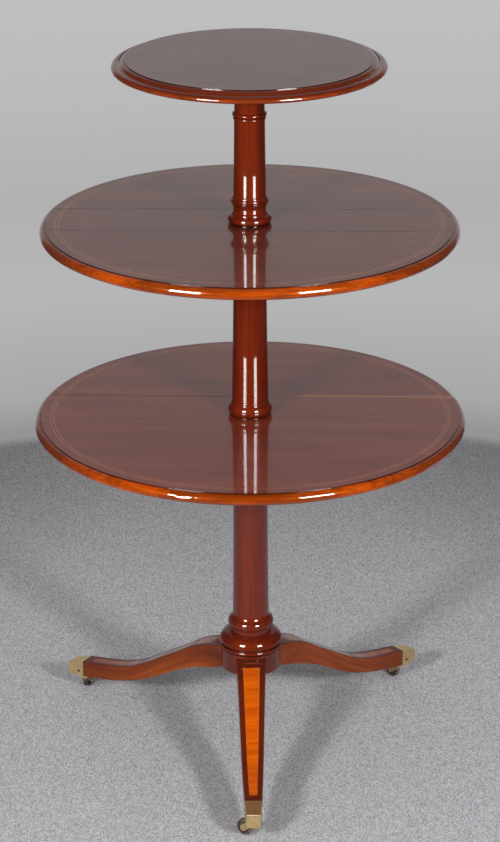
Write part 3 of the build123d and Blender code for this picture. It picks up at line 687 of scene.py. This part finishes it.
class TABLE_OT_boards(Operator):
    """Polish the boards of the three tiers"""

    bl_idname = "table.boards"
    bl_label = "Tier boards"

    def execute(self, context):
        settings = context.scene.table_boards
        gains = {"bottom": settings.bottom_gain, "middle": settings.middle_gain}
        for tier in TIERS:
            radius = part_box(f"{tier}_centre_board")[1].x
            tint = strengthened(settings, gains[tier])
            for index, side in enumerate(("front", "centre", "back")):
                node = f"{tier}_{side}_board"
                finish = board_finish(
                    f"{node}_mahogany",
                    settings,
                    tint,
                    settings.rim,
                    radius,
                    settings.rim_inset,
                    GRAIN_TURNS[tier],
                    JOINTS[tier],
                    seed=index + 3 * TIERS.index(tier) + 1,
                )
                give(node, finish)
        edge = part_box("top_board")[1]
        tint = context.scene.table_top
        finish = board_finish(
            "top_board_mahogany",
            settings,
            tint,
            tint.rim,
            edge.x,
            settings.top_rim_inset,
            turn=0.0,
            joints=(),
            seed=9,
            roll=edge.z - ROLL_DEPTH,
        )
        give("top_board", finish)
        return {"FINISHED"}


class TABLE_OT_stringing(Operator):
    """Colour the boxwood stringing"""

    bl_idname = "table.stringing"
    bl_label = "Stringing"

    def execute(self, context):
        settings = context.scene.table_panels
        for tier in TIERS:
            give(f"{tier}_stringing", stringing_finish(f"{tier}_boxwood", settings.boxwood))
        give("top_stringing", stringing_finish("top_boxwood", settings.faded))
        return {"FINISHED"}


class TABLE_OT_legs(Operator):
    """Polish the legs and their satinwood panels"""

    bl_idname = "table.legs"
    bl_label = "Legs and panels"

    def execute(self, context):
        for side in SIDES:
            angle = LEG_ANGLES[side]
            wood = leg_finish(f"leg_{side}_mahogany", context.scene.table_legs, angle)
            give(f"leg_{side}", wood)
            panel = satinwood_finish(f"leg_{side}_satinwood", context.scene.table_panels, angle)
            give(f"leg_panel_{side}", panel)
        return {"FINISHED"}


class TABLE_OT_brass(Operator):
    """Give the toe-caps and the casters their worn brass"""

    bl_idname = "table.brass"
    bl_label = "Toe-caps and casters"

    def execute(self, context):
        settings = context.scene.table_brass
        horn = brass_finish("caster_brass", settings, 0.35)
        steel = iron_finish("caster_steel", settings)
        for side in SIDES:
            # Tones of the upper faces: painted reflection on the front cap, painted light on the
            # side caps.
            painted_top = settings.brown if side == "front" else settings.worn
            rubbed = 0.75 if side == "left" else 0.55
            cap = brass_finish(f"{side}_cap_brass", settings, rubbed, painted_top)
            give(f"toe_cap_{side}", cap)
            give(f"caster_horn_{side}", horn)
            give(f"caster_axle_{side}", horn)
            give(f"caster_pivot_{side}", steel)
            give(f"caster_wheel_{side}", wheel_finish(f"{side}_wheel_brass", settings, side))
        give("toe_cap_pins", iron_finish("pin_iron", settings))
        return {"FINISHED"}


class TABLE_OT_fittings(Operator):
    """Finish the bosses, washers, screws and the brace under the tiers"""

    bl_idname = "table.fittings"
    bl_label = "Hidden fittings"

    def execute(self, context):
        brass = brass_finish("washer_brass", context.scene.table_brass, 0.4)
        iron = iron_finish("fitting_iron", context.scene.table_brass)
        for index, node in enumerate(("bottom_boss", "middle_boss", "top_block")):
            give(node, plain_finish(f"{node}_wood", context.scene.table_columns, index))
        for node in ("bottom_washer", "middle_washer"):
            give(node, brass)
        screws = ("bottom_boss_screws", "middle_boss_screws", "top_block_screws", "brace_screws")
        for node in (*screws, "brace_plate"):
            give(node, iron)
        return {"FINISHED"}


def grey(value):
    """A neutral colour of a given brightness."""
    return (value, value, value * 1.01, 1.0)


def add_lamp(name, place, size, power, mirrored=False):
    """A soft lamp that points at the column: a plain fill, or the softbox that polish mirrors."""
    bpy.ops.object.light_add(type="AREA", location=place)
    lamp = bpy.context.object
    lamp.name = name
    lamp.data.shape = "RECTANGLE"
    lamp.data.size, lamp.data.size_y = size
    lamp.data.energy = power
    lamp.visible_camera = False
    lamp.visible_diffuse = not mirrored
    lamp.visible_glossy = mirrored
    line = lamp.location - Vector((0, 0, LAMP_AIM))
    lamp.rotation_euler = line.to_track_quat("Z", "Y").to_euler()


def behind_table(tree, vector):
    """Positive inside a wedge that opens away from the camera, behind the table."""
    side, back, _ = split(tree, vector)
    return maths(tree, "MULTIPLY_ADD", maths(tree, "ABSOLUTE", side), -1.5, back)


def floor_finish(settings):
    """Pale speckled carpet that keeps the shadow, painted darker further back as painted falloff of
    the light, and a plain pale backdrop beyond it.
    """
    finish, tree, shader = new_finish("studio_floor")
    vector = coordinates(tree)
    away = reach(tree, vector)
    back = split(tree, vector)[1]
    # Darker further back: painted falloff of the light.
    plain = mixed(tree, between(tree, back, 0.4, 1.3), settings.near_floor, settings.shaded_far_floor)
    tufts = stretch(tree, vector, (700, 350, 0))
    tufts = put(tree, "ShaderNodeVectorMath", {0: tufts}, operation="FLOOR").outputs[0]
    pile = put(tree, "ShaderNodeTexWhiteNoise", {"Vector": tufts}).outputs["Value"]
    speckle = maths(tree, "MULTIPLY", pile, 0.50)
    colour = mixed(tree, speckle, plain, (0, 0, 0, 1))
    feed(tree, shader, {"Base Color": colour, "Roughness": 0.9, "Specular IOR Level": 0.0})
    reached = BACKDROP[-1][0]
    stops = [(radius / reached, grey(value)) for radius, value in BACKDROP]
    glow = tones(tree, maths(tree, "DIVIDE", away, reached), *stops)
    rays = put(tree, "ShaderNodeLightPath").outputs
    mirrored = maths(tree, "ADD", rays["Is Glossy Ray"], rays["Is Transmission Ray"])
    seen = maths(tree, "ADD", rays["Is Camera Ray"], mirrored, clamp=True)
    paper = between(tree, behind_table(tree, vector), -0.1, 0.5)
    paper = maths(tree, "ADD", paper, rays["Is Camera Ray"], clamp=True)
    glow = mixed(tree, paper, grey(settings.room), glow)
    backdrop = put(tree, "ShaderNodeEmission", {"Color": glow}).outputs[0]
    beyond = between(tree, away, settings.carpet - 0.02, settings.carpet + 0.04)
    share = maths(tree, "MULTIPLY", seen, beyond)
    both = put(tree, "ShaderNodeMixShader", {0: share, 1: shader.outputs[0], 2: backdrop})
    tree.links.new(both.outputs[0], tree.nodes["Material Output"].inputs["Surface"])
    return finish


def studio_world(settings):
    """Plain light from overhead; the polish mirrors a dim room and the paper backdrop."""
    world = bpy.data.worlds.new("studio")
    world.use_nodes = True
    tree = world.node_tree
    vector = put(tree, "ShaderNodeTexCoord").outputs["Generated"]
    up = split(tree, vector)[2]
    paper = tones(tree, up, *((height, grey(value)) for height, value in PAPER))
    behind = between(tree, behind_table(tree, vector), -0.2, 0.4)
    shown = mixed(tree, behind, grey(settings.room), paper)
    rays = put(tree, "ShaderNodeLightPath").outputs
    mirrored = maths(tree, "ADD", rays["Is Glossy Ray"], rays["Is Transmission Ray"])
    sky = tones(tree, up, *((height, grey(value)) for height, value in SKY))
    colour = mixed(tree, mirrored, sky, shown)
    tree.links.new(colour, tree.nodes["Background"].inputs["Color"])
    return world


class TABLE_OT_stage(Operator):
    """Set up the floor, the lamps and the camera"""

    bl_idname = "table.stage"
    bl_label = "Stage"

    def execute(self, context):
        settings = context.scene.table_stage
        bpy.ops.object.select_all(action="DESELECT")
        bpy.ops.mesh.primitive_plane_add(size=60.0, location=(0, 0, 0))
        floor = context.object
        floor.name = "studio_floor"
        floor.data.materials.append(floor_finish(settings))
        context.scene.world = studio_world(settings)
        for side, way in LAMP_WAYS.items():
            way = radians(way)
            place = (LAMP_REACH * sin(way), -LAMP_REACH * cos(way), LAMP_HEIGHT)
            add_lamp(f"softbox_{side}", place, SOFTBOX_SIZE, settings.softbox, mirrored=True)
            add_lamp(f"fill_{side}", place, FILL_SIZE, settings.fill)
        heading = Matrix.Rotation(settings.heading, 3, "Z")
        tilt = Matrix.Rotation(radians(90) - settings.pitch, 3, "X")
        roll = Matrix.Rotation(settings.roll, 3, "Z")
        place = heading @ Vector((0, -settings.distance, settings.height))
        bpy.ops.object.camera_add(location=place)
        camera = context.object
        camera.name = "camera"
        camera.rotation_euler = (heading @ tilt @ roll).to_euler()
        camera.data.sensor_width = 36.0
        camera.data.lens = settings.lens
        camera.data.shift_x = settings.shift
        context.scene.camera = camera
        context.scene.view_settings.view_transform = "Standard"
        return {"FINISHED"}


class TABLE_PT_dumbwaiter(Panel):
    """Lists the steps that dress the table"""

    bl_idname = "TABLE_PT_dumbwaiter"
    bl_label = "Dumbwaiter table"
    bl_space_type = "VIEW_3D"
    bl_region_type = "UI"
    bl_category = "Dumbwaiter"

    def draw(self, context):
        for step in STEPS:
            self.layout.operator(step.bl_idname)
        for group in SETTINGS:
            box = self.layout.box()
            held = getattr(context.scene, group)
            for name in held.bl_rna.properties.keys():
                if name not in ("rna_type", "name"):
                    box.prop(held, name)


SETTINGS = {
    "table_columns": ColumnSettings,
    "table_legs": LegSettings,
    "table_boards": BoardSettings,
    "table_top": TopSettings,
    "table_panels": PanelSettings,
    "table_brass": BrassSettings,
    "table_stage": StageSettings,
}
STEPS = (
    TABLE_OT_columns,
    TABLE_OT_boards,
    TABLE_OT_stringing,
    TABLE_OT_legs,
    TABLE_OT_brass,
    TABLE_OT_fittings,
    TABLE_OT_stage,
)


def register():
    """Register the settings, the steps and the panel."""
    for name, group in SETTINGS.items():
        bpy.utils.register_class(group)
        setattr(bpy.types.Scene, name, PointerProperty(type=group))
    for step in (*STEPS, TABLE_PT_dumbwaiter):
        bpy.utils.register_class(step)


def unregister():
    """Take them all away again."""
    for step in reversed((*STEPS, TABLE_PT_dumbwaiter)):
        bpy.utils.unregister_class(step)
    for name, group in reversed(SETTINGS.items()):
        delattr(bpy.types.Scene, name)
        bpy.utils.unregister_class(group)


def main():
    """Run every step in order."""
    register()
    bpy.ops.table.columns()
    bpy.ops.table.boards()
    bpy.ops.table.stringing()
    bpy.ops.table.legs()
    bpy.ops.table.brass()
    bpy.ops.table.fittings()
    bpy.ops.table.stage()


if __name__ == "__main__":
    main()
